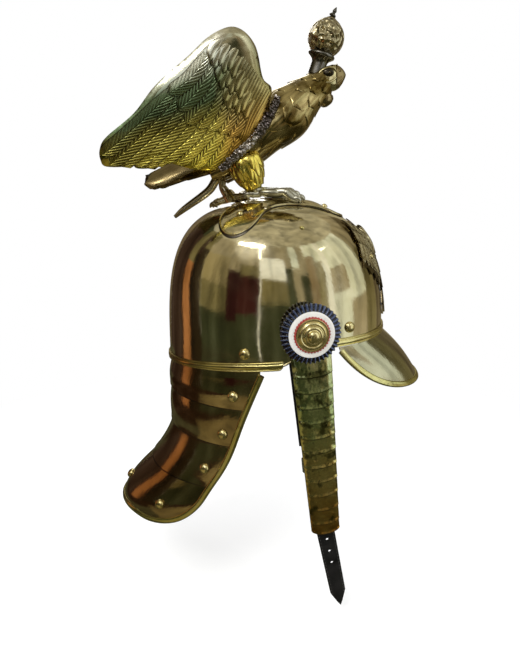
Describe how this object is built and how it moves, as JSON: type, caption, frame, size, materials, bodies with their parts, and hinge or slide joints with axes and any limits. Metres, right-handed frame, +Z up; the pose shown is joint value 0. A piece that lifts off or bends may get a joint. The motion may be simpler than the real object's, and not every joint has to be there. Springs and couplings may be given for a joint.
{
  "type": "guard helmet",
  "caption": "Brass guard helmet with an eagle crest, front visor, lobster tail neck guard, cockades and scaled chin straps.",
  "frame": {"origin": "centre of the head opening, level with the skull's lower edge at the back", "axes": "+X to the front, +Y to the wearer's left, +Z up"},
  "size_m": [0.3251, 0.2266, 0.5811],
  "materials": {
    "brass": "polished",
    "scale_brass": "polished, toned",
    "antique_brass": "toned",
    "silvered": "silvered",
    "steel": "bright",
    "black_gloss": "gloss lacquer",
    "white_enamel": "enamel",
    "red_enamel": "enamel",
    "black_leather": "blackened",
    "brown_leather": "plain"
  },
  "bodies": {
    "shell": {"skull": "brass", "skull_rivets": "brass", "skull_pins": "brass", "visor": "brass", "visor_trim": "brass", "visor_band": "brass", "rear_band": "brass", "neck_lame_1": "brass", "neck_lame_2": "brass", "neck_lame_3": "brass", "neck_lame_4": "brass", "neck_guard_trim": "brass", "neck_guard_rivets": "brass", "front_plate": "brass", "front_plate_studs": "brass", "crest_base": "brass", "crest_base_rivets": "brass", "crest_socket": "brass", "eagle_nut": "steel", "post_right": "steel", "post_left": "steel", "cockade_ring_right": "black_gloss", "cockade_ring_left": "black_gloss", "cockade_middle_right": "white_enamel", "cockade_middle_left": "white_enamel", "cockade_disc_right": "red_enamel", "cockade_disc_left": "black_gloss", "boss_right": "brass", "boss_left": "brass", "sweatband": "brown_leather", "liner_tongues": "brown_leather"},
    "eagle": {"eagle_body": "antique_brass", "eagle_beak": "antique_brass", "eagle_wing_right": "antique_brass", "eagle_wing_left": "antique_brass", "eagle_tail": "antique_brass", "tail_spur": "antique_brass", "eagle_leg_right": "silvered", "eagle_leg_left": "silvered", "eagle_plinth": "silvered", "eagle_stud": "steel", "crown_stem": "silvered", "crown_orb": "brass", "crown_finial": "brass"},
    "scales_upper_right_body": {"scales_upper_right": "scale_brass", "scale_hanger_right": "brass"},
    "scales_middle_right_body": {"scales_middle_right": "scale_brass"},
    "scales_lower_right_body": {"scales_lower_right": "scale_brass"},
    "scales_upper_left_body": {"scales_upper_left": "scale_brass", "scale_hanger_left": "brass"},
    "scales_middle_left_body": {"scales_middle_left": "scale_brass"},
    "scales_lower_left_body": {"scales_lower_left": "scale_brass"},
    "tongue_body": {"tongue_right": "black_leather"},
    "buckle_tab_body": {"buckle_tab_left": "black_leather"},
    "buckle_frame_body": {"buckle_frame_left": "steel"},
    "buckle_prong_body": {"buckle_prong_left": "steel"}
  },
  "joints": [
    {"name": "eagle_lift", "type": "slide", "parent": "shell", "child": "eagle", "axis": [0, 0, 1], "range_m": [0, 0.045]},
    {"name": "scales_swing_right", "type": "hinge", "parent": "shell", "child": "scales_upper_right_body", "pos_m": [0.028, -0.08929, 0.046], "axis": [0.1736, -0.9848, 0], "range_deg": [-15, 75]},
    {"name": "scales_flex_right", "type": "hinge", "parent": "scales_upper_right_body", "child": "scales_middle_right_body", "pos_m": [0.0372, -0.09112, -0.03714], "axis": [0.9794, 0.1727, 0.1045], "range_deg": [0, 10]},
    {"name": "scales_curl_right", "type": "hinge", "parent": "scales_middle_right_body", "child": "scales_lower_right_body", "pos_m": [0.04354, -0.09001, -0.09841], "axis": [0.9794, 0.1727, 0.1045], "range_deg": [0, 10]},
    {"name": "scales_swing_left", "type": "hinge", "parent": "shell", "child": "scales_upper_left_body", "pos_m": [0.028, 0.08929, 0.046], "axis": [-0.1736, -0.9848, 0], "range_deg": [-15, 75]},
    {"name": "scales_flex_left", "type": "hinge", "parent": "scales_upper_left_body", "child": "scales_middle_left_body", "pos_m": [0.0372, 0.09112, -0.03714], "axis": [-0.9794, 0.1727, -0.1045], "range_deg": [0, 10]},
    {"name": "scales_curl_left", "type": "hinge", "parent": "scales_middle_left_body", "child": "scales_lower_left_body", "pos_m": [0.04354, 0.09001, -0.09841], "axis": [-0.9794, 0.1727, -0.1045], "range_deg": [0, 10]},
    {"name": "tongue_flex", "type": "hinge", "parent": "scales_lower_right_body", "child": "tongue_body", "pos_m": [0.0499, -0.08888, -0.15991], "axis": [0.9633, 0.1699, 0.2079], "range_deg": [-25, 4]},
    {"name": "buckle_tab_flex", "type": "hinge", "parent": "scales_lower_left_body", "child": "buckle_tab_body", "pos_m": [0.04981, 0.0889, -0.15897], "axis": [-0.9794, 0.1727, -0.1045], "range_deg": [-20, 4]},
    {"name": "buckle_frame_turn", "type": "hinge", "parent": "buckle_tab_body", "child": "buckle_frame_body", "pos_m": [0.05145, 0.08861, -0.17488], "axis": [-0.9794, 0.1727, -0.1045], "range_deg": [-60, 8]},
    {"name": "buckle_prong_turn", "type": "hinge", "parent": "buckle_frame_body", "child": "buckle_prong_body", "pos_m": [0.05145, 0.08861, -0.17488], "axis": [-0.9794, 0.1727, -0.1045], "range_deg": [-40, 0]}
  ],
  "couplings": [
    {"joint": "scales_curl_right", "follows": "scales_flex_right", "ratio": 1},
    {"joint": "scales_curl_left", "follows": "scales_flex_left", "ratio": 1}
  ]
}
